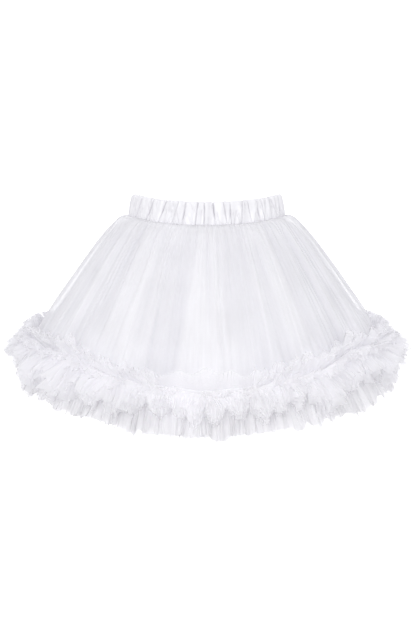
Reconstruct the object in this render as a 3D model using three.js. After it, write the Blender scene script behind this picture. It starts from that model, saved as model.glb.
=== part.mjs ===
// A child's tutu, hollow and filled out as if worn: a gathered satin waistband, two tulle skirt layers and a
// full gathered ruffle round the hem. Millimetres, +Z up, the front faces -Y.
// The origin is the centre of the waist opening, halfway up the waistband at the sides.
import * as THREE from "three";

// ---- Driving dimensions ----
const BAND_HEIGHT = 25;
const BAND_WALL = 3; // two satin layers over an elastic
const TULLE_WALL = 1.2;
const RUFFLE_WALL = 1.2; // two plies gathered as one
const SEAM_GAP = 0.3;
const SEAT_GAP = 0.65; // between a faceted ruffle root and the facets that it is sewn on
const BAND_TOP = BAND_HEIGHT / 2;
const BAND_BOTTOM = -BAND_HEIGHT / 2;
const SKIRT_TOP = BAND_BOTTOM - SEAM_GAP;
const HEM_TURN = 3.6; // skirt cloth below the ruffle's gather line

// Rows with named columns from lines of values.
function table(columns, lines) {
  return lines.map((line) => Object.fromEntries(columns.map((column, index) => [column, line[index]])));
}

// ---- Sections, from the top down ----
// halfWidth and halfDepth are the outline's, to the ridges. height is at the sides; the front and back hang
// lower. gather scales the depth of the waistband's gathers.
const BAND_SECTIONS = table(
  ["name", "halfWidth", "halfDepth", "height", "frontDip", "backDip", "gather"],
  [
    ["top fold", 87.2, 72.6, BAND_TOP - 0.2, 8.0, 12.5, 0.5],
    ["top edge", 88.6, 74.0, BAND_TOP - 1.4, 8.0, 12.5, 0.9],
    ["upper puff", 90.4, 75.6, 5.5, 8.1, 12.6, 1.0],
    ["middle", 91.8, 76.8, -2.0, 8.3, 12.7, 1.0],
    ["lower puff", 93.4, 78.2, -9.0, 8.4, 12.8, 1.0],
    ["seam", 93.6, 78.4, BAND_BOTTOM, 8.5, 12.8, 0.6],
  ],
);
const BAND_INSIDE = ["top fold", "middle", "seam"];
// fold scales the fold depths. inset and sink are how far the under skirt lies inside and below the outer.
const SKIRT_SECTIONS = table(
  ["name", "halfWidth", "halfDepth", "height", "frontDip", "backDip", "fold", "inset", "sink"],
  [
    ["seam", 93.6, 78.4, SKIRT_TOP, 8.5, 12.8, 0.1, 2.5, 0],
    ["shoulder", 102.4, 85.4, -12.9, 8.7, 13.0, 0.25, 6.4, 6.0],
    ["shoulder turn", 109.0, 90.8, -16.6, 9.2, 13.2, 0.45, 6.0, 4.8],
    ["under shoulder", 115.4, 96.4, -22.6, 10.4, 13.8, 0.65, 6.2, 3.6],
    ["upper", 127.4, 105.8, -35.5, 12.5, 15.0, 0.85, 6.8, 3.0],
    ["upper middle", 147.4, 120.8, -61.0, 16.5, 18.0, 1.0, 7.8, 3.0],
    ["lower middle", 170.4, 137.4, -92.0, 21.0, 22.0, 1.0, 7.8, 3.0],
    ["lower", 194.0, 153.4, -125.5, 25.5, 26.0, 0.8, 7.0, 3.0],
    ["gather line", 212.0, 166.0, -156.5, 30.0, 30.0, 0, 4.0, 2.4],
  ],
);
const SECTION_SIZES = ["halfWidth", "halfDepth", "height", "frontDip", "backDip"];

// ---- Gathers, folds and ruffles ----
// Each table runs along one half of the garment: at is in degrees from its side, 90 at the centre. The front
// half starts at -X and the back half at +X, so the back is the front turned by 180 degrees.
const BAND_GATHERS = [
  { at: 3, depth: 1.5, lean: -1.0 },
  { at: 10.5, depth: 1.3, lean: -1.0 },
  { at: 18.6, depth: 1.7, lean: -1.4 },
  { at: 25.6, depth: 1.3, lean: -1.6 },
  { at: 31, depth: 1.8, lean: -2.0 },
  { at: 45.5, depth: 1.4, lean: -2.4 },
  { at: 57.6, depth: 1.7, lean: -2.2 },
  { at: 67.9, depth: 1.5, lean: -1.6 },
  { at: 74.2, depth: 1.2, lean: -1.2 },
  { at: 83.3, depth: 1.6, lean: -0.4 },
  { at: 88.4, depth: 1.2, lean: 0.2 },
  { at: 95.2, depth: 1.7, lean: 0.4 },
  { at: 103, depth: 1.5, lean: 0.6 },
  { at: 107, depth: 1.3, lean: 0.6 },
  { at: 115.4, depth: 1.5, lean: -0.6 },
  { at: 121.6, depth: 1.7, lean: 0.6 },
  { at: 129.4, depth: 1.3, lean: 0.8 },
  { at: 133.6, depth: 1.6, lean: 1.0 },
  { at: 142.2, depth: 1.4, lean: 1.2 },
  { at: 147, depth: 1.7, lean: 1.2 },
  { at: 158.8, depth: 1.6, lean: 1.0 },
  { at: 167.4, depth: 1.3, lean: 1.0 },
];
const SKIRT_FOLDS = [
  { at: 9, depth: 3.2 },
  { at: 20.5, depth: 4.4 },
  { at: 32.7, depth: 4.8 },
  { at: 41.2, depth: 3.4 },
  { at: 51, depth: 4.0 },
  { at: 59.5, depth: 3.0 },
  { at: 66.5, depth: 4.2 },
  { at: 74, depth: 3.2 },
  { at: 82, depth: 5.4 },
  { at: 91, depth: 2.8 },
  { at: 98.5, depth: 4.4 },
  { at: 107.5, depth: 5.6 },
  { at: 116, depth: 3.6 },
  { at: 127, depth: 4.6 },
  { at: 138.8, depth: 3.8 },
  { at: 148.5, depth: 5.0 },
  { at: 159.5, depth: 3.8 },
  { at: 171, depth: 4.2 },
];
const UNDER_FOLDS = [
  { at: 14, depth: 2.4 },
  { at: 45, depth: 3.0 },
  { at: 78, depth: 2.6 },
  { at: 103, depth: 3.0 },
  { at: 133, depth: 2.6 },
  { at: 163, depth: 2.4 },
];
// The ruffle is cinched at knots, and fans out from each. lift and lean are the upper leaf's rise and reach,
// reach and drop the lower flounce's.
const RUFFLE_KNOTS = [
  { at: 12, lift: 14, lean: 8, reach: 32, drop: 21, wave: 1.1 },
  { at: 33, lift: 17, lean: 12, reach: 34, drop: 20, wave: 0.9 },
  { at: 52, lift: 21, lean: 13, reach: 34, drop: 17, wave: 1.2 },
  { at: 69, lift: 21, lean: 14, reach: 33, drop: 15, wave: 1.0 },
  { at: 88, lift: 33, lean: 17, reach: 33, drop: 13, wave: 0.8 },
  { at: 103, lift: 24, lean: 16, reach: 34, drop: 17, wave: 1.1 },
  { at: 119, lift: 27, lean: 15, reach: 34, drop: 16, wave: 0.9 },
  { at: 133, lift: 25, lean: 16, reach: 35, drop: 15, wave: 1.2 },
  { at: 147, lift: 19, lean: 13, reach: 35, drop: 17, wave: 1.0 },
  { at: 168, lift: 14, lean: 9, reach: 35, drop: 21, wave: 1.1 },
];
// A strip's sizes are shares of the knots'. channel is half the height of its gathered channel, and off is
// the distance off the skirt's face.
const BACK_STRIP = {
  lift: 1,
  lean: 1,
  reach: 0.94,
  drop: 1.22,
  wave: 6,
  channel: 2.8,
  off: SEAT_GAP + RUFFLE_WALL / 2,
};
const FRONT_STRIP = {
  lift: 0.22,
  lean: 1.7,
  reach: 0.96,
  drop: 0.66,
  wave: 5.4,
  channel: 1.1,
  off: BACK_STRIP.off + RUFFLE_WALL + SEAT_GAP,
};
const WAVE_SPAN = 36; // a wave has its full height this far from the root
// Heights and places of the waves between one knot and the next, as shares of the wave and of the gap.
const WAVE_STEPS = [
  { place: 0, height: 1 },
  { place: 0.22, height: -0.8 },
  { place: 0.52, height: 0.75 },
  { place: 0.78, height: -1.15 },
];
const BETWEEN_KNOTS = 0.88; // leaf length halfway between two knots
const LEAF_STEPS = [1, 0.7, 0.36];
// How a leaf curves: the powers of the step that its reach and its rise or drop follow.
const UPPER_CURVE = { out: 1.1, up: 0.9 };
const LOWER_CURVE = { out: 0.9, up: 1.5 };
const UNDER_CURVE = { out: 0.95, up: 1.15 };
const UNDER_RUFFLE = {
  waves: 28,
  wave: 4.6,
  sideReach: 24,
  frontReach: 31,
  sideDrop: 36.5,
  frontDrop: 29.5,
  tilt: 2.5,
  steps: [0, 0.3, 0.65, 1],
};
// Slow swells in the under ruffle's length.
const UNDER_SURGE = [
  { cycles: 7, size: 0.03, phase: 0.6 },
  { cycles: 17, size: 0.04, phase: 2.1 },
];

// ---- Geometry helpers ----
const radians = THREE.MathUtils.degToRad;
const lerp = THREE.MathUtils.lerp;
const up = (distance) => new THREE.Vector3(0, 0, distance);

function halves(rows) {
  const turned = (start) => rows.map((row) => ({ ...row, at: row.at + start }));
  return [...turned(0), ...turned(180)];
}

// Outward direction of a section's ellipse, level with the floor.
function outward(section, angle) {
  const across = Math.cos(angle) / section.halfWidth;
  const along = Math.sin(angle) / section.halfDepth;
  return new THREE.Vector3(across, along, 0).normalize();
}

// A point on a section at an angle from +X, moved out by offset.
function sectionPoint(section, angle, offset = 0) {
  const sine = Math.sin(angle);
  const dip = (sine < 0 ? section.frontDip : section.backDip) * sine * sine;
  const x = section.halfWidth * Math.cos(angle);
  const y = section.halfDepth * sine;
  const point = new THREE.Vector3(x, y, section.height - dip);
  return point.addScaledVector(outward(section, angle), offset);
}

// Unit normals of a grid of rings, away from the axis for rings that run downwards.
function gridNormals(grid) {
  const columns = grid[0].length;
  return grid.map((ring, row) => {
    const above = grid[Math.max(row - 1, 0)];
    const below = grid[Math.min(row + 1, grid.length - 1)];
    return ring.map((point, column) => {
      const down = below[column].clone().sub(above[column]);
      const left = ring[(column + columns - 1) % columns];
      const right = ring[(column + 1) % columns];
      return down.cross(right.clone().sub(left)).normalize();
    });
  });
}

function moved(grid, normals, distance) {
  const shift = (point, normal) => point.clone().addScaledVector(normal, distance);
  return grid.map((ring, row) => ring.map((point, column) => shift(point, normals[row][column])));
}

// One closed body from an outer and an inner grid of rings, joined by a rim at the top and at the bottom.
// Both faces split their quads along the same diagonal, so that a twisted wall keeps its thickness.
function closedWall(outer, inner) {
  const rings = [...outer, ...[...inner].reverse()];
  const columns = outer[0].length;
  const positions = rings.flat().flatMap((point) => point.toArray());
  const indices = [];
  for (let row = 0; row < rings.length; row++) {
    const here = row * columns;
    const below = ((row + 1) % rings.length) * columns;
    for (let column = 0; column < columns; column++) {
      const next = (column + 1) % columns;
      if (row < outer.length) {
        indices.push(here + column, below + column, here + next);
        indices.push(here + next, below + column, below + next);
      } else {
        indices.push(here + column, below + column, below + next);
        indices.push(here + column, below + next, here + next);
      }
    }
  }
  const geometry = new THREE.BufferGeometry();
  geometry.setAttribute("position", new THREE.Float32BufferAttribute(positions, 3));
  geometry.setIndex(indices);
  geometry.computeVertexNormals();
  return geometry;
}

// Columns for creases with flat ridges between them: the crease itself and the two edges of the ridge that
// follows. The front half of a table starts at 180 degrees from +X.
function foldColumns(rows) {
  const folds = halves(rows);
  return folds.flatMap((fold, index) => {
    const next = folds[(index + 1) % folds.length];
    const step = ((next.at - fold.at + 360) % 360) / 3;
    const lean = fold.lean ?? 0;
    const nextLean = next.lean ?? 0;
    return [0, 1, 2].map((part) => ({
      angle: radians(180 + fold.at + step * part),
      depth: part === 0 ? fold.depth : 0,
      lean: radians(lerp(lean, nextLean, part / 3)),
    }));
  });
}

// ---- Waistband ----
// A gather leans about the waistband's middle, where slant is 0.
function waistbandCasing() {
  const columns = foldColumns(BAND_GATHERS);
  const slant = (section) => (BAND_TOP - section.height) / BAND_HEIGHT - 0.5;
  const ring = (section, offset) =>
    columns.map((column) => {
      const angle = column.angle + column.lean * slant(section);
      return sectionPoint(section, angle, offset(column));
    });
  const outer = BAND_SECTIONS.map((section) => ring(section, ({ depth }) => -depth * section.gather));
  const insideSections = BAND_SECTIONS.filter((section) => BAND_INSIDE.includes(section.name));
  const inner = insideSections.map((section) => ring(section, () => -BAND_WALL));
  return closedWall(outer, inner);
}

// ---- Skirt layers ----
// The hem lies below the gather line, in line with the cloth above it.
function withHem(sections) {
  const [lower, gather] = sections.slice(-2);
  const run = Math.hypot(gather.halfWidth - lower.halfWidth, gather.height - lower.height);
  const hem = { ...gather, name: "hem" };
  for (const size of SECTION_SIZES) {
    hem[size] += ((gather[size] - lower[size]) * HEM_TURN) / run;
  }
  return [...sections, hem];
}

function skirtWall(sections, folds) {
  const columns = foldColumns(folds);
  const outer = sections.map((section) =>
    columns.map(({ angle, depth }) => sectionPoint(section, angle, -depth * section.fold)),
  );
  return closedWall(outer, moved(outer, gridNormals(outer), -TULLE_WALL));
}

function skirtOuterTulle() {
  return skirtWall(withHem(SKIRT_SECTIONS), SKIRT_FOLDS);
}

function underSections() {
  return withHem(SKIRT_SECTIONS).map((section) => ({
    ...section,
    halfWidth: section.halfWidth - section.inset,
    halfDepth: section.halfDepth - section.inset,
    height: section.height - section.sink,
  }));
}

function skirtUnderTulle() {
  return skirtWall(underSections(), UNDER_FOLDS);
}

// ---- Hem ruffle ----
// Columns between the knots, with every size blended from one knot to the next and a wave that alternates.
function ruffleColumns() {
  const knots = halves(RUFFLE_KNOTS);
  return knots.flatMap((knot, index) => {
    const next = knots[(index + 1) % knots.length];
    const gap = (next.at - knot.at + 360) % 360;
    return WAVE_STEPS.map(({ place, height }) => {
      const blend = (size) => lerp(knot[size], next[size], place);
      const spread = lerp(1, BETWEEN_KNOTS, Math.sin(place * Math.PI));
      return {
        angle: radians(180 + knot.at + gap * place),
        wave: height * blend("wave"),
        lift: blend("lift") * spread,
        lean: blend("lean") * spread,
        reach: blend("reach") * spread,
        drop: blend("drop") * spread,
      };
    });
  });
}

// A point of a leaf, out from the root and up from it. A wave stands across the leaf's own direction, and
// grows with the distance from the root to its full height at WAVE_SPAN.
function leafPoint(root, away, out, rise, wave) {
  const tilt = wave / WAVE_SPAN;
  return root
    .clone()
    .addScaledVector(away, out - rise * tilt)
    .add(up(rise + out * tilt));
}

// A point on the skirt at the gather line, moved down the cloth and off its face.
function seatPoint(angle, down, off) {
  const [above, gather] = SKIRT_SECTIONS.slice(-2).map((section) => sectionPoint(section, angle));
  const away = outward(SKIRT_SECTIONS.at(-1), angle);
  const slope = gather.clone().sub(above).normalize();
  const face = away.clone().multiplyScalar(-slope.z).add(up(slope.dot(away)));
  return gather.addScaledVector(slope, down).addScaledVector(face.normalize(), off);
}

// A strip gathered along a narrow channel: rings from the upper leaf's edge, in to the channel, out to the
// flounce's edge.
function stripGrid(strip) {
  const gather = SKIRT_SECTIONS.at(-1);
  const columns = ruffleColumns();
  const leafRing = (rootDown, out, rise) =>
    columns.map((column) => {
      const root = seatPoint(column.angle, rootDown, strip.off);
      const away = outward(gather, column.angle);
      return leafPoint(root, away, out(column), rise(column), column.wave * strip.wave);
    });
  const upper = LEAF_STEPS.map((step) =>
    leafRing(
      -strip.channel,
      ({ lean }) => lean * strip.lean * step ** UPPER_CURVE.out,
      ({ lift }) => lift * strip.lift * step ** UPPER_CURVE.up,
    ),
  );
  const lower = [...LEAF_STEPS].reverse().map((step) =>
    leafRing(
      strip.channel,
      ({ reach }) => reach * strip.reach * step ** LOWER_CURVE.out,
      ({ drop }) => -drop * strip.drop * step ** LOWER_CURVE.up,
    ),
  );
  const channel = [-strip.channel, strip.channel].map((down) =>
    columns.map(({ angle }) => seatPoint(angle, down, strip.off)),
  );
  return [...upper, ...channel, ...lower];
}

function ruffleWall(grid) {
  const normals = gridNormals(grid);
  return closedWall(moved(grid, normals, RUFFLE_WALL / 2), moved(grid, normals, -RUFFLE_WALL / 2));
}

function hemRuffleBack() {
  return ruffleWall(stripGrid(BACK_STRIP));
}

function hemRuffleFront() {
  return ruffleWall(stripGrid(FRONT_STRIP));
}

// The longer flounce hangs from the under skirt's hem.
function hemRuffleUnder() {
  const hem = underSections().at(-1);
  const count = UNDER_RUFFLE.waves * 2;
  const columns = Array.from({ length: count }, (_, index) => {
    const angle = ((index + 0.5) / count) * Math.PI * 2;
    const front = Math.sin(angle) ** 2;
    const swell = ({ cycles, size, phase }) => size * Math.sin(cycles * angle + phase);
    const surge = UNDER_SURGE.reduce((sum, row) => sum + swell(row), 1);
    const drop = lerp(UNDER_RUFFLE.sideDrop, UNDER_RUFFLE.frontDrop, front) * surge;
    return {
      angle,
      reach: lerp(UNDER_RUFFLE.sideReach, UNDER_RUFFLE.frontReach, front) * surge,
      drop: drop + UNDER_RUFFLE.tilt * Math.cos(angle),
      wave: index % 2 === 0 ? UNDER_RUFFLE.wave : -UNDER_RUFFLE.wave,
    };
  });
  const grid = UNDER_RUFFLE.steps.map((step) =>
    columns.map(({ angle, reach, drop, wave }) => {
      const root = sectionPoint(hem, angle, -TULLE_WALL / 2).add(up(-RUFFLE_WALL - SEAM_GAP));
      const out = reach * step ** UNDER_CURVE.out;
      return leafPoint(root, outward(hem, angle), out, -drop * step ** UNDER_CURVE.up, wave);
    }),
  );
  return ruffleWall(grid);
}

// ---- The garment ----
const PIECES = [
  { name: "waistband_casing", shape: waistbandCasing, color: "#f1f0f6", roughness: 0.35 },
  { name: "skirt_outer_tulle", shape: skirtOuterTulle, color: "#eeedf4", roughness: 0.9 },
  { name: "skirt_under_tulle", shape: skirtUnderTulle, color: "#e9e8f0", roughness: 0.9 },
  { name: "hem_ruffle_back", shape: hemRuffleBack, color: "#ecebf3", roughness: 0.9 },
  { name: "hem_ruffle_front", shape: hemRuffleFront, color: "#f2f1f7", roughness: 0.9 },
  { name: "hem_ruffle_under", shape: hemRuffleUnder, color: "#e2e1ea", roughness: 0.9 },
];

const group = new THREE.Group();
for (const { name, shape, color, roughness } of PIECES) {
  const material = new THREE.MeshStandardMaterial({ color, roughness, metalness: 0 });
  const mesh = new THREE.Mesh(shape(), material);
  mesh.name = name;
  group.add(mesh);
}

export default group;
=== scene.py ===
"""Looks of a child's tutu: gathered satin waistband, two tulle skirt layers, crimped ruffles round the hem."""
import math

import bpy
import numpy as np
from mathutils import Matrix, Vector


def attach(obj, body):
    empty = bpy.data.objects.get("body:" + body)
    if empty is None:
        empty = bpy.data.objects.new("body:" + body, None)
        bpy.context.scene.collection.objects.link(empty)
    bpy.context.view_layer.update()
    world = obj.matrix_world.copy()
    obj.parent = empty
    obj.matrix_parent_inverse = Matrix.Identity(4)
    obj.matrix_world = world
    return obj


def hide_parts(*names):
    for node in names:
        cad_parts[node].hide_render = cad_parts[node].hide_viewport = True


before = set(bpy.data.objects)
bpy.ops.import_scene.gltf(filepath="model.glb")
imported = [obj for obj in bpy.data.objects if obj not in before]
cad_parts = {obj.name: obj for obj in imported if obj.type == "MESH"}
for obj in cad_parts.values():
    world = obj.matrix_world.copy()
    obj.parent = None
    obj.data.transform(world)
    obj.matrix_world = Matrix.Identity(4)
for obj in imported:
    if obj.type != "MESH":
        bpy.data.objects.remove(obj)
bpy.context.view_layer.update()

MM = 0.001
TAU = math.tau

# ---- Named sizes, in millimetres, the same as the solids' ----
TULLE_WALL = 1.2
RUFFLE_WALL = 1.2
SEAM_GAP = 0.3

# half width, half depth, height at the sides, dip in front, dip at the back: from the waist's rim down
BAND_FORM = (
    (87.2, 72.6, 12.3, 8.0, 12.5),
    (88.6, 74.0, 11.1, 8.0, 12.5),
    (90.4, 75.6, 5.5, 8.1, 12.6),
    (91.8, 76.8, -2.0, 8.3, 12.7),
    (93.4, 78.2, -9.0, 8.4, 12.8),
    (93.6, 78.4, -12.5, 8.5, 12.8),
)
SKIRT_FORM = (
    (93.6, 78.4, -12.6, 8.5, 12.8),
    (102.4, 85.4, -12.9, 8.7, 13.0),
    (109.0, 90.8, -16.6, 9.2, 13.2),
    (115.4, 96.4, -22.6, 10.4, 13.8),
    (127.4, 105.8, -35.5, 12.5, 15.0),
    (147.4, 120.8, -61.0, 16.5, 18.0),
    (170.4, 137.4, -92.0, 21.0, 22.0),
    (194.0, 153.4, -125.5, 25.5, 26.0),
    (212.0, 166.0, -156.5, 30.0, 30.0),
    (214.0, 167.4, -159.6, 30.4, 30.4),
)
# how far the under skirt lies inside and below the outer one, a number for each row above
UNDER_INSET = (2.5, 6.4, 6.0, 6.2, 6.8, 7.8, 7.8, 7.0, 4.0, 4.0)
UNDER_SINK = (0.2, 6.0, 4.8, 3.6, 3.0, 3.0, 3.0, 3.0, 2.4, 2.4)
UNDER_FORM = tuple(
    (row[0] - inset, row[1] - inset, row[2] - sink, row[3], row[4])
    for row, inset, sink in zip(SKIRT_FORM, UNDER_INSET, UNDER_SINK)
)

# The tables below give a half from side to side, and their first number is in degrees from its side.
# at, depth, lean: the waistband's gathers
BAND_GATHERS = (
    (3, 1.5, -1.0), (10.5, 1.3, -1.0), (18.6, 1.7, -1.4), (25.6, 1.3, -1.6), (31, 1.8, -2.0), (45.5, 1.4, -2.4),
    (57.6, 1.7, -2.2), (67.9, 1.5, -1.6), (74.2, 1.2, -1.2), (83.3, 1.6, -0.4), (88.4, 1.2, 0.2), (95.2, 1.7, 0.4),
    (103, 1.5, 0.6), (107, 1.3, 0.6), (115.4, 1.5, -0.6), (121.6, 1.7, 0.6), (129.4, 1.3, 0.8), (133.6, 1.6, 1.0),
    (142.2, 1.4, 1.2), (147, 1.7, 1.2), (158.8, 1.6, 1.0), (167.4, 1.3, 1.0),
)
# at, depth, width (degrees), top and bottom (shares of the length), lean (degrees over the length)
SKIRT_TROUGHS = (
    (9, 3.2, 2.6, 0.02, 0.90, 0.5), (20.5, 4.4, 2.4, 0.00, 0.96, 0.0), (32.7, 4.8, 2.8, 0.06, 0.88, 0.8),
    (41.2, 3.4, 2.0, 0.10, 1.00, -0.6), (51, 4.0, 2.6, 0.00, 0.80, 0.6), (59.5, 3.0, 2.2, 0.20, 1.00, -0.8),
    (66.5, 4.2, 2.4, 0.00, 0.86, 0.6), (73, 3.2, 2.0, 0.12, 0.98, -2.0), (81.5, 4.6, 2.4, 0.00, 1.00, -6.0),
    (91, 2.8, 2.0, 0.04, 0.72, 0.4), (98.5, 3.8, 2.4, 0.00, 0.80, 0.8), (108, 4.8, 2.6, 0.00, 1.00, 0.8),
    (116, 3.6, 2.2, 0.14, 0.94, -0.6), (127, 4.6, 2.6, 0.00, 0.84, 0.8), (138.8, 3.8, 2.2, 0.08, 1.00, 0.0),
    (148.5, 5.0, 2.6, 0.00, 0.92, -0.6), (159.5, 3.8, 2.2, 0.04, 0.86, 0.4), (171, 4.2, 2.4, 0.00, 1.00, -0.4),
)
UNDER_TROUGHS = (
    (14, 2.4, 3.0, 0.00, 0.95, 0.5), (45, 3.0, 3.4, 0.05, 0.90, -0.6), (78, 2.6, 3.0, 0.00, 1.00, 0.6),
    (103, 3.0, 3.2, 0.10, 0.90, 0.6), (133, 2.6, 3.0, 0.00, 0.95, -0.6), (163, 2.4, 3.0, 0.05, 1.00, 0.4),
)
# at, width (degrees), top and bottom (shares of the length), tone: denser panels are darker, open ones lighter
SKIRT_PANELS = (
    (16, 7, -0.2, 1.2, 0.10), (34, 5, 0.2, 1.2, -0.10), (45, 6, -0.2, 0.9, 0.12), (62, 7, 0.15, 0.95, -0.16),
    (76, 4, -0.2, 0.7, 0.06), (89, 5, -0.2, 0.4, 0.10), (94, 7, 0.45, 1.2, -0.12), (103, 4, -0.2, 0.6, 0.08),
    (114, 5, 0.5, 1.2, 0.08), (124, 5, 0.1, 0.8, -0.14), (138, 7, -0.2, 1.2, 0.14), (155, 5, 0.2, 1.0, -0.08),
    (168, 6, -0.2, 1.2, 0.08),
)
# at, lift, lean, reach, drop, wave, climb (how far the gathered line is drawn up the skirt): the ruffle's knots
RUFFLE_KNOTS = (
    (12, 16, 10, 32, 23, 1.1, 1), (33, 20, 11, 35, 25, 0.9, 5), (47, 22, 12, 35, 23, 1.2, 11),
    (62, 18, 13, 34, 19, 1.0, 4), (75, 18, 14, 33, 16, 1.0, 2), (90, 26, 15, 33, 15, 0.8, -3),
    (103, 20, 14, 34, 17, 1.1, 1), (114, 24, 14, 34, 17, 0.9, 4), (124, 24, 14, 35, 17, 1.2, 3),
    (136, 22, 13, 35, 22, 1.0, 12), (150, 19, 12, 35, 25, 1.0, 4), (168, 16, 10, 34, 23, 1.1, 1),
)
# at, width (degrees), depth (share of the length): notches between the flounce's puffs
FLOUNCE_NOTCHES = (
    (6, 2.4, 0.25), (20, 2.0, 0.35), (28, 2.4, 0.30), (41, 1.6, 0.30), (54, 2.0, 0.35), (62.5, 1.8, 0.40),
    (74.5, 3.0, 0.55), (81, 1.4, 0.35), (85, 1.2, 0.30), (89.6, 1.0, 0.40), (95, 1.8, 0.50), (101, 1.6, 0.45),
    (107, 1.2, 0.25), (112, 1.6, 0.40), (117, 2.0, 0.45), (129, 1.6, 0.30), (137, 2.4, 0.45), (144, 1.8, 0.30),
    (157, 2.4, 0.30), (174, 2.4, 0.30),
)
# the strip's wave from one knot to the next, and its span
WAVE_PLACES = (0.0, 0.22, 0.52, 0.78, 1.0)
WAVE_HEIGHTS = (1.0, -0.8, 0.75, -1.15, 1.0)
WAVE_SPAN = 36.0
BETWEEN_KNOTS = 0.88  # share of a leaf's length that is left halfway between knots


# ---- Helpers on grids: rows run down the cloth, columns run anticlockwise round it ----
def smooth(value, low, high):
    share = np.clip((value - low) / (high - low), 0, 1)
    return share * share * (3 - 2 * share)


def wrapped(angle):
    return (angle + math.pi) % TAU - math.pi


def turned(table):
    """A half's table as degrees from +X for both halves; the back is the front turned by 180 degrees."""
    return [(180 + start + row[0],) + tuple(row[1:]) for start in (0, 180) for row in table]


def sections(rows, where):
    """Form rows at distances down the side profile, on a smooth curve through them."""
    rows = np.array(rows, float)
    run = np.concatenate([[0], np.cumsum(np.hypot(np.diff(rows[:, 0]), np.diff(rows[:, 2])))])
    slope = np.gradient(rows, run, axis=0)
    k = np.clip(np.searchsorted(run, where, "right") - 1, 0, len(run) - 2)
    span = run[k + 1] - run[k]
    u = ((where - run[k]) / span)[:, None]
    span = span[:, None]
    return ((2 * u**3 - 3 * u**2 + 1) * rows[k] + (u**3 - 2 * u**2 + u) * span * slope[k]
            + (3 * u**2 - 2 * u**3) * rows[k + 1] + (u**3 - u**2) * span * slope[k + 1])


def length_of(rows):
    rows = np.array(rows, float)
    return float(np.hypot(np.diff(rows[:, 0]), np.diff(rows[:, 2])).sum())


def placed(form, theta):
    """Points of form rows (..., 5) at angles of the same shape."""
    sine = np.sin(theta)
    dip = np.where(sine < 0, form[..., 3], form[..., 4]) * sine**2
    return np.stack([form[..., 0] * np.cos(theta), form[..., 1] * sine, form[..., 2] - dip], -1)


def laid(form, theta):
    """A grid with a row for each form row and a column at each angle."""
    shape = (len(form), len(theta))
    return placed(form[:, None, :] * np.ones((1, len(theta), 1)), np.broadcast_to(theta, shape))


def outward(form, theta):
    away = np.stack([np.cos(theta) / form[..., 0], np.sin(theta) / form[..., 1], np.zeros_like(theta)], -1)
    return away / np.linalg.norm(away, axis=-1, keepdims=True)


def along(away):
    """Level directions round the garment, at right angles to the outward ones."""
    return np.stack([-away[:, 1], away[:, 0], np.zeros(len(away))], -1)


def normals(grid):
    down = np.gradient(grid, axis=0)
    onward = np.roll(grid, -1, 1) - np.roll(grid, 1, 1)
    face = np.cross(down, onward)
    return face / np.maximum(np.linalg.norm(face, axis=-1, keepdims=True), 1e-9)


def chorus(rng, theta, low, high, count):
    """Even, periodic noise of about unit size from sines of low to high cycles round the garment."""
    cycles = rng.integers(low, high, count)
    phases = rng.uniform(0, TAU, count)
    return sum(np.sin(c * theta + p) for c, p in zip(cycles, phases)) / math.sqrt(count / 2)


def trough(theta, t, at, width, lean, top, bottom, power=1.4, skew=1.0):
    """A soft trough of unit depth that runs down the cloth between two shares of its length."""
    d = wrapped(theta - math.radians(at) - math.radians(lean) * (t - 0.5))
    wide = math.radians(width) * np.where(d < 0, skew, 1 / skew)
    cross = np.exp(-np.abs(d / wide) ** power)
    return cross * smooth(t, top - 0.02, top + 0.10) * (1 - smooth(t, bottom - 0.16, bottom + 0.02))


def sheet_mesh(name, plies, materials):
    """A piece made of one or more plies, each (grid in mm, across, around, painted light and shade of each point
    from 0 to 1, material index of each point or None). across and around are the flat cloth's own distances, for
    the weave."""
    points, faces, uvs, shades, index, start = [], [], [], [], [], 0
    for grid, across, around, painted_shade_and_tone, chooser in plies:
        rows, columns = grid.shape[:2]
        r, c = np.meshgrid(np.arange(rows - 1), np.arange(columns), indexing="ij")
        n = (c + 1) % columns
        corners = [r * columns + c, (r + 1) * columns + c, (r + 1) * columns + n, r * columns + n]
        faces.append(np.stack(corners, -1).reshape(-1, 4) + start)
        us = np.append(around, around[-1] + (around[-1] - around[-2]))
        u = np.stack([us[c], us[c], us[c + 1], us[c + 1]], -1)
        v = np.stack([across[r], across[r + 1], across[r + 1], across[r]], -1)
        uvs.append(np.stack([u, v], -1).reshape(-1))
        points.append(grid.reshape(-1, 3))
        shades.append(np.clip(painted_shade_and_tone, 0, 1).reshape(-1))
        chosen = np.zeros(r.size) if chooser is None else chooser[:-1].reshape(-1)
        index.append(chosen.astype(np.int32))
        start += rows * columns
    points, faces = np.concatenate(points), np.concatenate(faces)
    mesh = bpy.data.meshes.new(name)
    mesh.vertices.add(len(points))
    mesh.vertices.foreach_set("co", (points.reshape(-1) * MM).astype(np.float32))
    mesh.loops.add(faces.size)
    mesh.loops.foreach_set("vertex_index", faces.reshape(-1).astype(np.int32))
    mesh.polygons.add(len(faces))
    mesh.polygons.foreach_set("loop_start", np.arange(0, faces.size, 4, dtype=np.int32))
    mesh.polygons.foreach_set("use_smooth", np.ones(len(faces), bool))
    mesh.update(calc_edges=True)
    uv = mesh.uv_layers.new(name="cloth")
    uv.data.foreach_set("uv", (np.concatenate(uvs) * MM).astype(np.float32))
    # each point's painted light and shade, with some tone, for the materials to turn into colour
    shade = mesh.attributes.new("painted_shade_and_tone", "FLOAT", "POINT")
    shade.data.foreach_set("value", np.concatenate(shades).astype(np.float32))
    for material in materials:
        mesh.materials.append(material)
    mesh.polygons.foreach_set("material_index", np.concatenate(index))
    obj = bpy.data.objects.new(name, mesh)
    bpy.context.scene.collection.objects.link(obj)
    return obj


# ---- Materials ----
def nodes_of(name):
    material = bpy.data.materials.new(name)
    material.use_nodes = True
    tree = material.node_tree
    return material, tree, tree.nodes["Principled BSDF"]


def fill(tree, node, inputs):
    """Sets a node's inputs to values, or links them to other nodes' outputs."""
    for key, value in inputs.items():
        if isinstance(value, bpy.types.NodeSocket):
            tree.links.new(value, node.inputs[key])
        else:
            node.inputs[key].default_value = value


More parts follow.
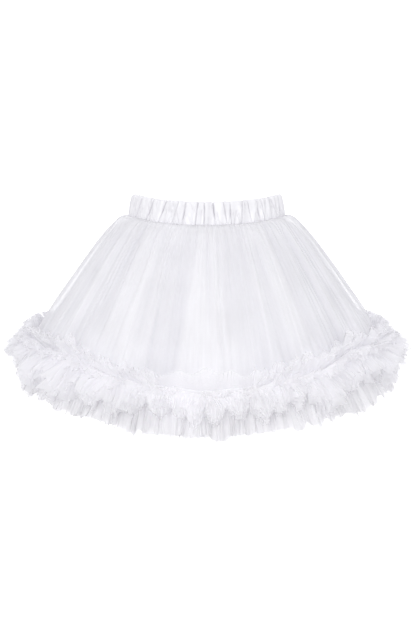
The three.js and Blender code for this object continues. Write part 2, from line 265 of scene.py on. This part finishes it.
def put(tree, kind, output, inputs=None, **settings):
    """Adds a node and returns one of its outputs."""
    node = tree.nodes.new(kind)
    for key, value in settings.items():
        setattr(node, key, value)
    fill(tree, node, inputs or {})
    return node.outputs[output]


def ranged(tree, source, low, high, start=0.0, end=1.0):
    """A value's range from start to end, mapped to low to high."""
    bounds = {"Value": source, "From Min": start, "From Max": end, "To Min": low, "To Max": high}
    return put(tree, "ShaderNodeMapRange", "Result", bounds)


def toned(tree, light, shade):
    """The cloth's colour, from light to shade by a mesh attribute that holds painted shade, painted highlights and
    tone.
    """
    painted_shade_and_tone = put(tree, "ShaderNodeAttribute", "Fac", attribute_name="painted_shade_and_tone")
    return put(tree, "ShaderNodeMix", "Result", {"A": (*light, 1), "B": (*shade, 1), "Factor": painted_shade_and_tone},
               data_type="RGBA")


def grained(tree, weave, scale, detail, **more):
    """Noise in the flat cloth's own coordinates, stretched by cycles a metre along and across."""
    stretch = put(tree, "ShaderNodeMapping", "Vector", {"Scale": (*scale, 1), "Vector": weave})
    return put(tree, "ShaderNodeTexNoise", "Fac", {"Scale": 1.0, "Detail": detail, "Vector": stretch, **more})


def bumped(tree, height, strength, distance, over=None, invert=False):
    inputs = {"Strength": strength, "Distance": distance, "Height": height}
    if over is not None:
        inputs["Normal"] = over
    return put(tree, "ShaderNodeBump", "Normal", inputs, invert=invert)


NET_CELLS = 780  # a metre, so that a cell is about 1.3 mm across
NET_RELIEF = 0.0003
CRIMP_RELIEF = 0.0016
SATIN_FLOATS = (2600, 160)  # a metre, along and across the strip
SATIN_PUCKERS = (260, 60)


def tulle(name, light, shade, alpha, net, crimp, glow, streaks, crimps):
    """Fine net: threads a little lighter than their holes, crimped along the gathers, with painted shade deep in
    the folds and a painted glow.
    """
    material, tree, shader = nodes_of(name)
    weave = put(tree, "ShaderNodeUVMap", "UV", uv_map="cloth")
    tone = toned(tree, light, shade)
    place = put(tree, "ShaderNodeTexCoord", "Object")
    patch = put(tree, "ShaderNodeTexNoise", "Fac", {"Scale": 26.0, "Detail": 2.0, "Vector": place})
    density = ranged(tree, patch, 0.965, 1.02, 0.3, 0.7)
    net_pattern = {"Scale": NET_CELLS, "Randomness": 0.25, "Vector": weave}
    cells = put(tree, "ShaderNodeTexVoronoi", "Distance", net_pattern,
                voronoi_dimensions="2D", feature="DISTANCE_TO_EDGE")
    thread = ranged(tree, cells, 1.0, 1 - net * 0.35, 0.02, 0.28)
    lines = grained(tree, weave, crimps, 3.0, Roughness=0.6)
    streak = ranged(tree, lines, 1 - streaks, 1 + 0.5 * streaks, 0.3, 0.7)
    woven = put(tree, "ShaderNodeMath", "Value", {0: thread, 1: streak}, operation="MULTIPLY")
    both = put(tree, "ShaderNodeMath", "Value", {0: density, 1: woven}, operation="MULTIPLY")
    colour = put(tree, "ShaderNodeVectorMath", "Vector", {0: tone, "Scale": both}, operation="SCALE")
    crimped_face = bumped(tree, lines, crimp, CRIMP_RELIEF)
    fill(tree, shader, {
        "Base Color": colour,
        "Normal": bumped(tree, cells, net, NET_RELIEF, over=crimped_face, invert=True),
        "Roughness": 0.8,
        "Specular IOR Level": 0.2,
        "Sheen Weight": 0.2,
        "Sheen Roughness": 0.5,
        "Alpha": alpha,
        # painted glow: the net emits light, standing in for the light that thin net passes on from behind and from
        # its own folds
        "Emission Color": (*light, 1),
        "Emission Strength": glow,
    })
    return material


def satin(name, light, shade):
    """Bright polyester satin: smooth floats of uneven roughness across the strip, painted highlights in streaks,
    painted shade deep in the gathers.
    """
    material, tree, shader = nodes_of(name)
    weave = put(tree, "ShaderNodeUVMap", "UV", uv_map="cloth")
    floats = grained(tree, weave, SATIN_FLOATS, 2.0)
    puckers = grained(tree, weave, SATIN_PUCKERS, 2.0)
    puckered = bumped(tree, puckers, 0.25, 0.0012)
    fill(tree, shader, {
        "Base Color": toned(tree, light, shade),
        "Roughness": ranged(tree, floats, 0.42, 0.58),
        "Normal": bumped(tree, floats, 0.1, 0.0001, over=puckered),
        "Specular IOR Level": 0.4,
        "Metallic": 0.1,
        "Sheen Weight": 0.1,
    })
    return material


WIDE = (260, 14)  # crimps a metre, along and across the skirt's layers
FINE = (420, 12)  # and the ruffle's strips
SATIN = satin("satin", light=(0.90, 0.896, 0.92), shade=(0.68, 0.67, 0.704))
OUTER_TULLE = tulle("outer_tulle", light=(0.945, 0.941, 0.960), shade=(0.84, 0.835, 0.868), alpha=0.58,
                    net=0.3, crimp=0.4, glow=0.02, streaks=0.03, crimps=WIDE)
UNDER_TULLE = tulle("under_tulle", light=(0.92, 0.916, 0.938), shade=(0.78, 0.775, 0.812), alpha=0.96,
                    net=0.2, crimp=0.4, glow=0.03, streaks=0.03, crimps=WIDE)
RUFFLE_TULLE = tulle("ruffle_tulle", light=(0.962, 0.958, 0.972), shade=(0.84, 0.835, 0.862), alpha=0.34,
                     net=0.2, crimp=0.25, glow=0.10, streaks=0.04, crimps=FINE)
# the arch's net is thinner and more see-through, and it is also painted lighter, with a stronger painted glow
RUFFLE_THIN = tulle("ruffle_tulle_thin", light=(0.96, 0.956, 0.970), shade=(0.90, 0.895, 0.915), alpha=0.22,
                    net=0.25, crimp=0.25, glow=0.13, streaks=0.05, crimps=FINE)
# a lit copy of the ruffle's net for the rows by the gathered channel: painted light, from lighter colours and a
# stronger glow
RUFFLE_ROOT_LIT = tulle("ruffle_tulle_root_lit", light=(0.965, 0.961, 0.974), shade=(0.87, 0.865, 0.888), alpha=0.34,
                    net=0.2, crimp=0.25, glow=0.124, streaks=0.04, crimps=FINE)
# the flounce underneath is painted darker than the ruffles above it: painted shade, with a weaker painted glow
RUFFLE_UNDER_SHADED = tulle("ruffle_tulle_under_shaded", light=(0.935, 0.93, 0.946), shade=(0.79, 0.78, 0.808), alpha=0.70,
                     net=0.2, crimp=0.25, glow=0.033, streaks=0.035, crimps=FINE)
RUFFLE_LOOKS = (RUFFLE_TULLE, RUFFLE_THIN, RUFFLE_ROOT_LIT)
MAIN, THIN, LIT_ROOT = range(3)  # places in RUFFLE_LOOKS

# ---- Waistband: up the inside, folded over at the top, and down the outside to the seam ----
BAND_COLUMNS = 1600
BAND_CLOTH = 82 * 1.6  # flat millimetres a radian
INSIDE_ROWS = 8
SMALL_CREASES = 260
PAINTED_HIGHLIGHT_STREAKS = 130
PINCHES = 118  # stitches that pucker the seam
PINCH_WIDTH = 0.007  # radians


def waistband():
    rng = np.random.default_rng(11)
    theta = np.arange(BAND_COLUMNS) / BAND_COLUMNS * TAU
    run = length_of(BAND_FORM)
    outside = np.concatenate([np.linspace(0, 0.08, 6)[:-1], np.linspace(0.08, 1, 38)])
    grid = laid(sections(BAND_FORM, outside * run), theta)
    th = np.broadcast_to(theta, grid.shape[:2])
    face = normals(grid)
    t = outside[:, None] * np.ones((1, BAND_COLUMNS))
    held = 0.35 + 0.65 * np.sin(np.clip(t, 0, 1) * math.pi) ** 0.6
    depth = np.zeros_like(t)
    deep = np.zeros_like(t)
    # painted shade: each gather and small fold is painted darker
    for at, size, lean in turned(BAND_GATHERS):
        wide = rng.uniform(0.22, 0.34)
        cut = trough(th, t, at, wide, 2.4 * lean + rng.uniform(-1, 1), -0.2, 1.3, 1.0, rng.uniform(0.7, 1.4))
        depth += (1.25 * size + 0.5) * cut
        deep += cut * rng.uniform(0.45, 0.8)
    for _ in range(SMALL_CREASES):
        at = rng.uniform(0, 360)
        from_top = rng.random() < 0.45
        reach = rng.uniform(0.25, 0.7)
        top, bottom = (-0.2, reach) if from_top else (1 - reach, 1.3)
        cut = trough(th, t, at, rng.uniform(0.25, 0.6), rng.uniform(-5, 5), top, bottom, 1.2,
                     rng.uniform(0.6, 1.6))
        size = rng.uniform(0.35, 1.0)
        depth += 1.2 * size * cut
        deep += 0.4 * size * cut
    # painted highlights: lighter streaks, most of them in the band's lower half, on a middling tone that varies at
    # random
    painted_highlight = np.zeros_like(t)
    for _ in range(PAINTED_HIGHLIGHT_STREAKS):
        high = rng.random() < 0.2
        top, bottom = (-0.2, rng.uniform(0.3, 0.5)) if high else (rng.uniform(0.35, 0.6), 1.3)
        painted_highlight += rng.uniform(0.1, 0.36) * trough(th, t, rng.uniform(0, 360), rng.uniform(0.4, 1.1),
                                                  rng.uniform(-4, 4), top, bottom, 1.6)
    deep += 0.31 + 0.07 * chorus(rng, th + 0.04 * t, 12, 50, 12) - 0.85 * painted_highlight
    swell = 0.7 * chorus(rng, th + 0.05 * t, 20, 60, 14) * held
    seam = np.exp(-((1 - t) / 0.035) ** 2)
    # the pinched dents along the seam are also painted darker: painted shade
    pinch = np.zeros_like(t)
    for k in range(PINCHES):
        at = (k + rng.uniform(-0.3, 0.3)) * 360 / PINCHES
        pinch += rng.uniform(0.5, 1.2) * np.exp(-(wrapped(th - math.radians(at)) / PINCH_WIDTH) ** 2)
    pinch *= seam
    depth = np.minimum(depth, 3.6) * (0.45 + 0.55 * held) + 0.8 * pinch + 0.2 * seam
    deep = deep * (0.7 + 0.3 * held) + 0.7 * pinch
    grid = grid + face * (swell + 0.7 - depth)[..., None]
    # the inside wall, 3 mm in from the form, with light ripples
    inner = laid(sections(BAND_FORM, np.linspace(0, 1, INSIDE_ROWS)[::-1] * run), theta)
    ripples = 0.35 * chorus(rng, theta, 60, 130, 10)
    inner = inner - normals(inner) * (0.6 * ripples - 3.0)[None, :, None]
    inner[-1, :, 2] -= 0.3
    grid = np.concatenate([inner, grid])
    deep = np.concatenate([np.full((INSIDE_ROWS, BAND_COLUMNS), 0.25), deep])
    across = np.concatenate([[0], np.cumsum(np.linalg.norm(np.diff(grid[:, 0], axis=0), axis=1))])
    return sheet_mesh("waistband", [(grid, across, theta * BAND_CLOTH, deep, None)], [SATIN])


# ---- Skirt layers ----
SKIRT_CLOTH = 130 * 1.45  # flat millimetres a radian
DEEPEST = 6.4  # a fold's depth tends to this, so that the layer stays clear of the one inside it


def skirt(name, form_rows, troughs, material, seed, columns, rows, minor, gather, slack):
    """One layer: wide troughs from the tables, minor ones drawn at random, tight gathers at the waist."""
    rng = np.random.default_rng(seed)
    theta = np.arange(columns) / columns * TAU
    run = length_of(form_rows)
    t = np.concatenate([np.linspace(0, 0.14, rows // 3)[:-1], np.linspace(0.14, 1, rows - rows // 3)])
    grid = laid(sections(form_rows, t * run), theta)
    th = np.broadcast_to(theta, grid.shape[:2])
    face = normals(grid)
    tt = t[:, None] * np.ones((1, columns))
    body = smooth(tt, 0.0, 0.22) * (1 - 0.75 * smooth(tt, 0.82, 1.0))
    depth = np.zeros_like(tt)
    deep = np.zeros_like(tt)
    # painted shade: each trough is painted darker
    for at, size, wide, top, bottom, lean in turned(troughs):
        cut = trough(th, tt, at, wide, lean, top, bottom, 1.5, rng.uniform(0.55, 1.7))
        depth += 1.25 * size * cut
        deep += 0.13 * size * cut
    for _ in range(minor):
        at = rng.uniform(0, 360)
        top = rng.choice([0.0, rng.uniform(0, 0.6)])
        bottom = min(1.05, top + rng.uniform(0.2, 0.9))
        cut = trough(th, tt, at, rng.uniform(0.35, 1.1), rng.uniform(-2.5, 2.5), top, bottom, 1.2,
                     rng.uniform(0.5, 2))
        size = rng.uniform(0.5, 1.9)
        depth += size * cut
        deep += 0.12 * size * cut
    gathers = np.exp(-tt / 0.10) * smooth(tt, 0.0, 0.06)
    tight = chorus(rng, th, 60, 130, 22)
    depth = depth * body + gather * gathers * (1 + tight)
    # the painted shade is lighter near the waist, where the tight gathers get painted shade of their own
    fade = 0.3 + 0.7 * smooth(tt, 0.0, 0.22)
    deep = deep * fade + 0.30 * gathers * np.clip(tight, 0, 2)
    drift = chorus(rng, th + 0.02 * tt, 70, 200, 30) * (1 - tt) + chorus(rng, th + 0.03 * tt, 60, 220, 30) * tt
    panel = 0.06 * chorus(rng, th + 0.03 * tt, 5, 19, 12)
    for at, wide, top, bottom, dark in turned(SKIRT_PANELS):
        panel += dark * trough(th, tt, at, wide, rng.uniform(-2, 2), top, bottom, 2.2)
    side = np.cos(th) ** 2
    depth += slack * drift * (0.35 + 0.65 * body)
    # painted shade where the drift pushes the cloth in and painted light where it bulges out; the panels' tone
    deep += 0.09 * np.clip(drift, -1, 2) * fade + (0.10 + panel) * fade
    # painted shade: darker at the sides, near the hem's ruffle and under the waistband
    deep += 0.22 * side + 0.42 * smooth(tt, 0.66, 0.95) * (1 - side) + 0.14 * (1 - smooth(tt, 0.02, 0.45))
    grid = grid + face * (0.6 - DEEPEST * np.tanh(depth / DEEPEST))[..., None]
    return sheet_mesh(name, [(grid, t * run, theta * SKIRT_CLOTH, deep, None)], [material])


# ---- Ruffles round the hem ----
GATHER_ROW = np.array(SKIRT_FORM[8], float)
ABOVE_ROW = np.array(SKIRT_FORM[7], float)
UNDER_HEM_ROW = np.array(UNDER_FORM[-1], float)
KNOTS = sorted(((row[0] % 360,) + tuple(row[1:]) for row in turned(RUFFLE_KNOTS)), key=lambda row: row[0])
KNOT_AT = np.array([row[0] for row in KNOTS])
RING = 4000  # points that measure the way round a form row
STRIP_CLOTH = 3.2  # flat millimetres for each millimetre of the gathered line
UNDER_CLOTH = 2.8

LEAF = (0.02, 0.12, 0.26, 0.42, 0.58, 0.74, 0.88, 1.0)  # rows of a leaf, as shares of its length
# shares of the knots' lengths outwards (out) and up or down (up), share of the fold height (crimp), swing of the
# folds, size of the wave, and the leaf's flat length (cut)
BACK_UPPER = {"out": 1.0, "up": 1.0, "crimp": 0.8, "swing": 0.15, "wave": 6, "cut": 22}
BACK_LOWER = {"out": 0.88, "up": 1.6, "crimp": 1.0, "swing": 0.11, "wave": 6, "cut": 42}
FRONT_UPPER = {"out": 1.7, "up": 0.22, "crimp": 0.9, "swing": 0.20, "wave": 5.4, "cut": 18}
FRONT_LOWER = {"out": 0.90, "up": 1.15, "crimp": 1.0, "swing": 0.15, "wave": 5.4, "cut": 38}
# seed, folds, columns a fold, distance off the skirt, half the gathered channel's height, fold height, and the
# share of the drop that is taken away at the sides, where the plies fan out
BACK_PLIES = (
    (31, 150, 14, 1.0, 2.8, 6.5, 0.30),
    (35, 210, 10, 1.6, 2.6, 5.0, 0.55),
    (38, 190, 10, 2.1, 2.4, 4.0, 0.85),
)
FRONT_PLIES = (
    (32, 140, 14, 2.9, 1.3, 6.5, 0.25),
    (36, 210, 10, 3.5, 1.1, 4.5, 0.50),
    (39, 190, 10, 4.0, 1.0, 3.6, 0.75),
)
# seed, folds, columns a fold, fold height, puffs
UNDER_PLIES = (
    (33, 130, 16, 4.1, 54),
    (37, 170, 13, 3.6, 66),
    (40, 150, 13, 3.3, 46),
)
UNDER_STEPS = np.linspace(0, 1, 11)
UNDER_REACH = (24, 31)  # at the sides, in front and at the back
UNDER_DROP = (36.5, 29.5)
UNDER_CUT = 46
# where the back strip's upper leaf is a smooth, see-through arch, and where that stands highest, in degrees from +X
ARCH = ((256, 283),)
ARCH_TOP = 269.0


def seat(theta, down, off):
    """A point on the skirt at the gather line, moved down the cloth and off its face, and the way outward."""
    shape = np.ones(theta.shape + (1,))
    gather = placed(GATHER_ROW * shape, theta)
    above = placed(ABOVE_ROW * shape, theta)
    away = outward(GATHER_ROW * shape, theta)
    slope = gather - above
    slope = slope / np.linalg.norm(slope, axis=-1, keepdims=True)
    lean = (slope * away).sum(-1, keepdims=True)
    face = away * -slope[..., 2:] + np.array([0, 0, 1.0]) * lean
    face = face / np.linalg.norm(face, axis=-1, keepdims=True)
    return gather + slope * np.broadcast_to(down, theta.shape)[..., None] + face * off, away


def knot_sizes(theta):
    """Sizes blended between knots, the share of the way to the next knot, and the offset to the nearest."""
    degrees = np.degrees(theta) % 360
    k = np.searchsorted(KNOT_AT, degrees, "right") - 1
    here = KNOT_AT[k]
    after = KNOT_AT[(k + 1) % len(KNOT_AT)]
    gap = (after - here) % 360
    share = ((degrees - here) % 360) / gap
    table = np.array(KNOTS)[:, 1:]
    blend = share - np.sin(TAU * share) / TAU * 0.6
    sizes = table[k] * (1 - blend)[:, None] + table[(k + 1) % len(KNOT_AT)] * blend[:, None]
    wave = np.interp(share, WAVE_PLACES, WAVE_HEIGHTS)
    nearest = np.where(share < 0.5, -share * gap, (1 - share) * gap)
    return sizes, share, np.radians(nearest), wave


def notched(theta, rng):
    """Share of the flounce's length that is left beside the notches."""
    left = np.ones_like(theta)
    for at, wide, size in turned(FLOUNCE_NOTCHES):
        off = np.abs(wrapped(theta - math.radians(at + rng.uniform(-0.25, 0.25))))
        left -= size * rng.uniform(1.1, 1.4) * np.exp(-off / math.radians(1.2 * wide))
    return np.maximum(1.08 * left, 0.32)


def gathered(row, rng, count, parts):
    """Uneven folds round a form row. For each column: its angle, its distance round, its phase in the fold and
    the fold's width; and a function that spreads one value a fold smoothly over the columns."""
    ring = np.arange(RING) / RING * TAU
    outline = placed(row * np.ones((RING, 1)), ring)
    run = np.concatenate([[0], np.cumsum(np.linalg.norm(np.roll(outline, -1, 0) - outline, axis=1))])
    wide = rng.uniform(0.55, 1.45, count)
    wide *= run[-1] / wide.sum()
    start = np.concatenate([[0], np.cumsum(wide)[:-1]])
    k = np.arange(count * parts) // parts
    u = (np.arange(count * parts) % parts) / parts
    around = start[k] + wide[k] * u

    def eased(values):
        after = np.roll(values, -1)
        w = u * u * (3 - 2 * u)
        return values[k] * (1 - w) + after[k] * w

    theta = np.interp(around, run, np.append(ring, TAU))
    return theta, around, TAU * u, wide[k], eased


def crimped(rng, grid, leaf, folds, size, teeth):
    """Fine crimps stand off the gathered cloth and leave teeth along the cut edges."""
    columns = grid.shape[1]
    index = np.arange(columns) / columns * TAU
    distance = np.abs(leaf)[:, None]
    first = chorus(rng, index + 0.002 * leaf[:, None], folds, folds * 3, 20)
    second = chorus(rng, index - 0.002 * leaf[:, None], folds * 2, folds * 4, 20)
    mixed = first * (1 - distance) + second * distance
    run = np.gradient(grid, axis=0)
    run /= np.maximum(np.linalg.norm(run, axis=-1, keepdims=True), 1e-9)
    run *= np.sign(leaf)[:, None, None]
    tooth = teeth * chorus(rng, index, folds, folds * 3, 24) * smooth(distance, 0.7, 1.0)
    grid = grid + normals(grid) * (size * mixed * (0.35 + 0.65 * distance))[..., None]
    return grid + run * tooth[..., None]


def ply(seed, folds, parts, off, channel, amplitude, splay, upper, lower, thin=()):
    """One ply of a strip gathered along a narrow channel, with crimped leaves above and below it."""
    rng = np.random.default_rng(seed)
    theta, around, phase, wide, eased = gathered(GATHER_ROW, rng, folds, parts)
    sizes, share, nearest, wave = knot_sizes(theta)
    lift, lean, reach, drop, swell, climb = sizes.T
    between = 1 - (1 - BETWEEN_KNOTS) * np.sin(share * math.pi)
    rise = wave * swell / WAVE_SPAN
    side = np.cos(theta) ** 2
    raised = 1 - splay * side**2
    drawn = nearest * (1 - (2 * np.minimum(share, 1 - share)) ** 4)
    short = notched(theta, rng)
    degrees = np.degrees(theta) % 360
    arch = np.zeros(len(theta))
    for low, high in thin:
        arch = np.maximum(arch, smooth(degrees, low - 3, low + 3) * (1 - smooth(degrees, high - 3, high + 3)))
    dome = 1.12 - 0.28 * ((degrees - ARCH_TOP) / 14) ** 2
    grid, across, leaf_of = [], [], []
    for way, spec in ((-1, upper), (1, lower)):
        tall = eased(rng.uniform(0.65, 1.35, folds)) * amplitude * spec["crimp"]
        longer = eased(rng.uniform(0.90, 1.06, folds))
        swing = 0.45 * eased(rng.normal(0, spec["swing"], folds))
        swing = swing + spec["swing"] * chorus(rng, theta, 18, 60, 14)
        loop = eased(rng.uniform(0.05, 0.14, folds)) * wide
        for s in LEAF[::way]:
            # the cloth is drawn to the nearest knot along the channel, and fans out away from it
            root, away = seat(theta + drawn * 0.5 * (1 - min(s * 1.6, 1)) ** 1.2, way * channel - climb, off)
            far = longer * (1 + (0.04 * np.abs(np.sin(phase)) ** 3) * s**3) * between
            size = (0.5 + (tall - 0.5) * s**0.85) * (1 - 0.4 * s**3)
            if way < 0:
                far = far * (1 - arch) + dome * arch
                size = size * (1 - 0.75 * arch)
                turn = swing * (1 - 0.85 * arch)
                out, up = lean * spec["out"] * far * s**1.1, lift * spec["up"] * far * s**0.9
                d_out, d_up = lean * spec["out"] * 1.1 * s**0.1, lift * spec["up"] * 0.9 * s ** -0.1
            else:
                far = far * (1 - (1 - short) * s)
                turn = swing
                out, up = reach * spec["out"] * far * s**0.9, -drop * spec["up"] * raised * far * s**1.5
                d_out, d_up = reach * spec["out"] * 0.9 * s ** -0.1, -drop * spec["up"] * raised * 1.5 * s**0.5
            # the folds stand off the leaf's own curve, which the strip's wave and the folds' swing tilt
            long = np.hypot(d_out, d_up)
            cross = size * np.sin(phase)
            tilt = rise * spec["wave"] + turn * s
            far_out = out - up * tilt - d_up / long * cross
            slide = loop * s**0.7 * np.sin(2 * phase)
            point = root + away * far_out[:, None] + along(away) * slide[:, None]
            point[:, 2] += up + out * tilt + d_out / long * cross
            grid.append(point)
            across.append(way * (s * spec["cut"] + channel))
            leaf_of.append(way * s)
    leaf_of = np.array(leaf_of)
    calm = 1 - 0.8 * arch[None] * (leaf_of[:, None] < 0)
    grid = crimped(rng, np.array(grid), leaf_of, folds, 0.4 * calm, 0.32 * calm)
    leaf = leaf_of[:, None] * np.ones(len(theta))
    valley = 0.5 - 0.5 * np.sin(phase)
    # painted shade in the folds' valleys and, more, at the sides; the gathered knots are the densest cloth and are
    # painted palest: painted light
    knot = np.exp(-(np.degrees(nearest) / 2.6) ** 2)[None] * (1 - np.abs(leaf)) ** 2
    deep = 0.07 + 0.2 * (1 - 0.5 * side[None]) * valley[None] ** 1.5 * (0.3 + 0.7 * np.abs(leaf))
    deep = deep + 0.80 * side[None] - 0.3 * knot
    # the arch's rows take the thin net, and the rows by the gathered channel take the lit copy: both have a
    # stronger painted glow
    chooser = np.where((arch[None] > 0.5) & (leaf < -0.12), THIN, MAIN)
    chooser = np.where(np.abs(leaf) < 0.15, LIT_ROOT, chooser)
    return grid, np.array(across), around * STRIP_CLOTH, deep, chooser


def puffed(rng, theta, count):
    """Offset from the nearest of uneven puffs' middles, and the same as a share of half the puff."""
    middles = np.sort((np.arange(count) + rng.uniform(-0.3, 0.3, count)) * TAU / count)
    k = np.searchsorted(middles, theta % TAU)
    before = (theta - middles[k - 1]) % TAU
    after = (middles[k % count] - theta) % TAU
    near = np.where(before < after, before, -after)
    return near, np.abs(near) / ((before + after) / 2)


def under_ply(seed, folds, parts, amplitude, puffs):
    """One ply of the flounce that hangs from the under skirt's hem, in uneven puffs."""
    rng = np.random.default_rng(seed)
    theta, around, phase, wide, eased = gathered(UNDER_HEM_ROW, rng, folds, parts)
    front = np.sin(theta) ** 2
    surge = 1 + 0.03 * np.sin(7 * theta + 0.6) + 0.04 * np.sin(17 * theta + 2.1)
    reach = (UNDER_REACH[0] + (UNDER_REACH[1] - UNDER_REACH[0]) * front) * surge
    drop = (UNDER_DROP[0] + (UNDER_DROP[1] - UNDER_DROP[0]) * front) * surge + 2.5 * np.cos(theta)
    long = np.hypot(reach, drop)
    tall = eased(rng.uniform(0.4, 1.5, folds)) * amplitude
    longer = eased(rng.uniform(0.97, 1.02, folds))
    loop = eased(rng.uniform(0.05, 0.13, folds)) * wide
    puff = chorus(rng, theta, 34, 80, 12)
    near, aside = puffed(rng, theta, puffs)
    near = near * (1 - aside**4)
    sway = chorus(rng, theta, 24, 70, 12)
    swing = 0.025 * eased(rng.normal(0, 1, folds)) + 0.04 * chorus(rng, theta, 18, 60, 14)
    grid = []
    hem = UNDER_HEM_ROW * np.ones((len(theta), 1))
    for s in UNDER_STEPS:
        # the cloth is drawn to the middle of each puff at the seam, and fans out below it
        fanned = theta - near * 0.5 * (1 - min(s * 1.5, 1)) ** 1.2 + near * 0.12 * s
        root = placed(hem, fanned)
        away = outward(hem, fanned)
        root = root - away * TULLE_WALL / 2
        root[:, 2] -= RUFFLE_WALL + SEAM_GAP
        far = longer * (1 + 0.02 * puff * s**2 - 0.11 * aside**2 * s**2)
        out = reach * far * s**0.95 + 1.2 * puff * s + 2.4 * (0.6 - aside**2) * s
        up = -drop * far * s**1.15
        cross = (0.6 + (tall - 0.6) * s**0.8) * (1 - 0.6 * s**3) * np.sin(phase)
        far_out = out + drop / long * cross - up * swing * s
        slide = loop * s**0.7 * np.sin(2 * phase) + 2.2 * sway * s
        point = root + away * far_out[:, None] + along(away) * slide[:, None]
        point[:, 2] += up + reach / long * cross + out * swing * s
        grid.append(point)
    grid = crimped(rng, np.array(grid), UNDER_STEPS, folds, 0.4, 0.35)
    # painted shade: darker in the folds' valleys, at the sides and towards the puffs' edges, and painted light
    # where a puff stands out; the valleys' shade lightens at the bottom ends
    valley = 0.5 - 0.5 * np.sin(phase)
    s = UNDER_STEPS[:, None]
    deep = 0.19 + 0.08 * valley[None] ** 1.3 * (0.3 + 0.7 * s) * (1 - 0.5 * s**4)
    deep = deep + 0.15 * (1 - front[None]) + 0.14 * aside[None] ** 2 - 0.06 * puff[None] * s
    return grid, UNDER_STEPS * UNDER_CUT, around * UNDER_CLOTH, deep, None


# ---- The pieces ----
band = waistband()
outer = skirt("skirt_outer", SKIRT_FORM, SKIRT_TROUGHS, OUTER_TULLE,
              seed=21, columns=1260, rows=66, minor=190, gather=0.9, slack=0.30)
under = skirt("skirt_under", UNDER_FORM, UNDER_TROUGHS, UNDER_TULLE,
              seed=22, columns=1080, rows=48, minor=150, gather=0.8, slack=0.35)
back_plies = [ply(*row, BACK_UPPER, BACK_LOWER, ARCH) for row in BACK_PLIES]
back_strip = sheet_mesh("ruffle_back", back_plies, RUFFLE_LOOKS)
front_plies = [ply(*row, FRONT_UPPER, FRONT_LOWER) for row in FRONT_PLIES]
front_strip = sheet_mesh("ruffle_front", front_plies, RUFFLE_LOOKS)
under_strip = sheet_mesh("ruffle_under", [under_ply(*row) for row in UNDER_PLIES], [RUFFLE_UNDER_SHADED])

# ---- The pieces, each with its frame node, finish slot and whole cut, flat, in metres; each hangs from the root body and hides its node's own part ----
CUTS = (
    (band, "waistband_casing", "satin", (0.054, 0.74)),
    (outer, "skirt_outer_tulle", "outer_tulle", (0.205, 1.25)),
    (under, "skirt_under_tulle", "under_tulle", (0.190, 1.15)),
    (back_strip, "hem_ruffle_back", "ruffle_tulle", (0.066, 8.1)),
    (front_strip, "hem_ruffle_front", "ruffle_tulle", (0.056, 8.4)),
    (under_strip, "hem_ruffle_under", "under_tulle", (0.046, 6.6)),
)
for piece, node, finish_slot, cut in CUTS:
    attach(piece, "root")
    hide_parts(node)

# ---- Pale floor and backdrop, one sheet of paper that sweeps up behind, in metres ----
FLOOR = -1.35
FLOOR_FROM = -4.0
HALF_WIDTH = 6.0
SWEEP = 0.9
WALL_AT = 3.2
WALL_TOP = 4.5


def backdrop():
    turn = np.linspace(0, math.pi / 2, 13)
    curve = [(WALL_AT - SWEEP + SWEEP * math.sin(a), FLOOR + SWEEP - SWEEP * math.cos(a)) for a in turn]
    line = [(FLOOR_FROM, FLOOR), *curve, (WALL_AT, WALL_TOP)]
    verts = [(x, y, z) for y, z in line for x in (-HALF_WIDTH, HALF_WIDTH)]
    faces = [(2 * i, 2 * i + 1, 2 * i + 3, 2 * i + 2) for i in range(len(line) - 1)]
    mesh = bpy.data.meshes.new("backdrop")
    mesh.from_pydata(verts, [], faces)
    for polygon in mesh.polygons:
        polygon.use_smooth = True
    obj = bpy.data.objects.new("backdrop", mesh)
    bpy.context.scene.collection.objects.link(obj)
    material, tree, shader = nodes_of("paper")
    grain = put(tree, "ShaderNodeTexNoise", "Fac", {"Scale": 3.0, "Detail": 1.0})
    fill(tree, shader, {
        "Base Color": ranged(tree, grain, 0.90, 0.94),
        "Roughness": 0.9,
        "Emission Color": (1, 1, 1, 1),
        "Emission Strength": 1.0,
    })
    mesh.materials.append(material)
    obj.visible_diffuse = False
    obj.visible_glossy = False
    obj.visible_transmission = False
    obj.visible_shadow = False


backdrop()

# ---- Light: an even pale surround, a little darker below, and two soft lamps in front ----
scene = bpy.context.scene
world = bpy.data.worlds.new("studio")
scene.world = world
world.use_nodes = True
sky = world.node_tree
direction = put(sky, "ShaderNodeTexCoord", "Generated")
height = put(sky, "ShaderNodeSeparateXYZ", "Z", {"Vector": direction})
fill(sky, sky.nodes["Background"], {
    "Color": (0.985, 0.985, 1.0, 1),
    "Strength": ranged(sky, height, 0.72, 0.98, -1.0, 1.0),
})


def lamp(name, place, aim, size, power):
    data = bpy.data.lights.new(name, "AREA")
    data.shape = "RECTANGLE"
    data.size, data.size_y = size
    data.energy = power
    obj = bpy.data.objects.new(name, data)
    scene.collection.objects.link(obj)
    obj.location = place
    obj.rotation_euler = (Vector(aim) - Vector(place)).to_track_quat("-Z", "Y").to_euler()


lamp("key", (-0.7, -2.2, 1.1), (0, 0, -0.1), (1.3, 1.3), 15)
lamp("fill", (1.0, -2.0, 0.3), (0, 0, -0.1), (1.2, 1.2), 4)

# ---- Camera: the photograph's place and angle ----
CAMERA_AT = (0.00375, -0.8, 0.0125)
CAMERA_TILT = 79.49482  # degrees from straight down
LENS = 37.195
SENSOR = 36.0

camera_data = bpy.data.cameras.new("camera")
camera_data.lens = LENS
camera_data.sensor_width = SENSOR
camera = bpy.data.objects.new("camera", camera_data)
scene.collection.objects.link(camera)
camera.location = CAMERA_AT
camera.rotation_euler = (math.radians(CAMERA_TILT), 0, 0)
scene.camera = camera
scene.view_settings.view_transform = "Standard"
# light passes through many layers of net
scene.cycles.transparent_max_bounces = 48
scene.cycles.max_bounces = 16
scene.cycles.diffuse_bounces = 12
